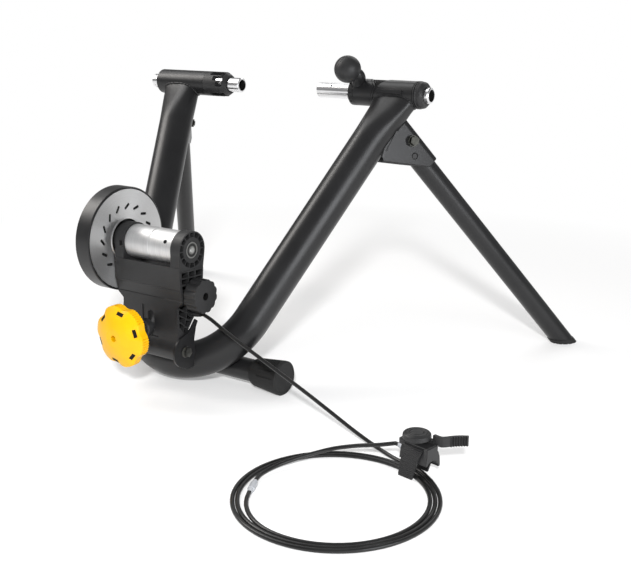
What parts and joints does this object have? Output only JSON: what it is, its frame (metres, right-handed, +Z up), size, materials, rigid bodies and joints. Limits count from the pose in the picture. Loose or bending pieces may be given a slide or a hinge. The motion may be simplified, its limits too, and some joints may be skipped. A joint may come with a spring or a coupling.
{
  "type": "magnetic bike trainer",
  "caption": "Folding floor stand that clamps a bicycle's rear axle and presses the tyre on a magnet-braked roller with a flywheel and a cable remote.",
  "frame": {"origin": "centre of the object's box at floor level, measured without the free cable", "axes": "+X across the trainer toward the clamp lever's side, +Y toward the front where the legs stand, away from the resistance unit, +Z up"},
  "size_m": [0.9238, 0.786, 0.4479],
  "materials": {
    "powder_coat_black": "satin powder coat",
    "plastic_black": "moulded, fine grain",
    "rubber_black": "moulded, matte",
    "machined_aluminium": "turned and brushed",
    "zinc_steel": "zinc plated",
    "plastic_yellow": "moulded, satin gloss",
    "magnet_nickel": "nickel plated",
    "cable_black": "smooth sheath",
    "plastic_grey": "moulded, satin",
    "webbing_black": "ribbed strap"
  },
  "bodies": {
    "frame": {"main_frame": "powder_coat_black", "left_axle_sleeve": "powder_coat_black", "right_axle_sleeve": "powder_coat_black", "right_end_cap": "plastic_black", "rear_crossbar": "powder_coat_black", "rear_foot_left": "rubber_black", "rear_foot_right": "rubber_black", "leg_bracket_left": "powder_coat_black", "leg_bracket_right": "powder_coat_black", "bracket_plug_left": "plastic_black", "bracket_plug_right": "plastic_black", "leg_bolt_left": "zinc_steel", "leg_bolt_right": "zinc_steel", "pivot_bracket": "powder_coat_black", "pivot_bolt": "zinc_steel", "tension_bolt": "zinc_steel", "shifter_body": "plastic_black", "shifter_cap": "plastic_black", "shifter_strap": "webbing_black", "shifter_port": "plastic_black", "cable_lead": "cable_black", "cable_coil": "cable_black", "cable_barrel": "plastic_grey", "cable_tail": "cable_black"},
    "leg_left": {"leg_left": "powder_coat_black", "leg_foot_left": "rubber_black"},
    "leg_right": {"leg_right": "powder_coat_black", "leg_foot_right": "rubber_black"},
    "left_rod": {"left_cone_rod": "machined_aluminium"},
    "left_collar": {"left_adjuster_collar": "plastic_black"},
    "plunger": {"right_plunger_rod": "machined_aluminium"},
    "lever": {"clamp_lever": "powder_coat_black", "right_cam_collar": "powder_coat_black", "ball_knob": "plastic_black"},
    "unit": {"unit_housing": "plastic_black", "bearing_left": "zinc_steel", "bearing_right": "zinc_steel", "magnet_hub": "plastic_black", "side_knob_bolt": "zinc_steel", "cable_gland": "plastic_black"},
    "roller": {"roller_drum": "machined_aluminium", "roller_shaft": "zinc_steel", "flywheel_rim": "powder_coat_black", "flywheel_face": "machined_aluminium", "flywheel_nut": "zinc_steel"},
    "magnet_ring": {"magnet_carrier": "powder_coat_black", "magnets": "magnet_nickel"},
    "side_knob": {"side_knob": "plastic_black"},
    "tension_core": {"tension_knob_core": "plastic_black"},
    "tension_knob": {"tension_knob": "plastic_yellow"},
    "thumb": {"thumb_lever": "plastic_black"}
  },
  "joints": [
    {"name": "leg_right_fold", "type": "hinge", "parent": "frame", "child": "leg_right", "pos_m": [0.18379, 0.07961, 0.32873], "axis": [-0.836, 0.5364, -0.1159], "range_deg": [0, 70]},
    {"name": "leg_left_fold", "type": "hinge", "parent": "frame", "child": "leg_left", "pos_m": [-0.25479, 0.07961, 0.32873], "axis": [-0.836, -0.5364, 0.1159], "range_deg": [0, 70]},
    {"name": "left_collar_turn", "type": "hinge", "parent": "frame", "child": "left_collar", "pos_m": [-0.1395, 0.0792, 0.3945], "axis": [1, 0, 0], "range_deg": [-360.5, 360.5]},
    {"name": "left_rod_slide", "type": "slide", "parent": "frame", "child": "left_rod", "axis": [1, 0, 0], "range_m": [-0.006, 0.006]},
    {"name": "clamp_lever_turn", "type": "hinge", "parent": "plunger", "child": "lever", "pos_m": [0.092, 0.0792, 0.3945], "axis": [1, 0, 0], "range_deg": [0, 100]},
    {"name": "plunger_slide", "type": "slide", "parent": "frame", "child": "plunger", "axis": [-1, 0, 0], "range_m": [0, 0.0182]},
    {"name": "unit_tilt", "type": "hinge", "parent": "frame", "child": "unit", "pos_m": [-0.0355, -0.22684, 0.062], "axis": [1, 0, 0], "range_deg": [0, 20]},
    {"name": "roller_spin", "type": "hinge", "parent": "unit", "child": "roller", "pos_m": [-0.0355, -0.21194, 0.2025], "axis": [1, 0, 0], "continuous": true},
    {"name": "magnet_turn", "type": "hinge", "parent": "unit", "child": "magnet_ring", "pos_m": [-0.0355, -0.21194, 0.2025], "axis": [1, 0, 0], "range_deg": [0, 30]},
    {"name": "side_knob_turn", "type": "hinge", "parent": "unit", "child": "side_knob", "pos_m": [-0.0355, -0.21234, 0.1415], "axis": [1, 0, 0], "range_deg": [0, 360]},
    {"name": "tension_slide", "type": "slide", "parent": "frame", "child": "tension_core", "axis": [0, -1, 0], "range_m": [0, 0.0146]},
    {"name": "tension_knob_turn", "type": "hinge", "parent": "tension_core", "child": "tension_knob", "pos_m": [-0.0355, 0.0792, 0.0925], "axis": [0, -1, 0], "range_deg": [0, 601]},
    {"name": "thumb_turn", "type": "hinge", "parent": "frame", "child": "thumb", "pos_m": [0.3995, -0.2638, 0], "axis": [0, 0, 1], "range_deg": [0, 60.2]}
  ],
  "couplings": [
    {"joint": "left_collar_turn", "follows": "left_rod_slide", "rad_per_m": 1047.2},
    {"joint": "plunger_slide", "follows": "clamp_lever_turn", "m_per_rad": 0.010417},
    {"joint": "tension_slide", "follows": "unit_tilt", "m_per_rad": 0.0415},
    {"joint": "tension_knob_turn", "follows": "unit_tilt", "ratio": 30},
    {"joint": "thumb_turn", "follows": "magnet_turn", "ratio": 2}
  ]
}
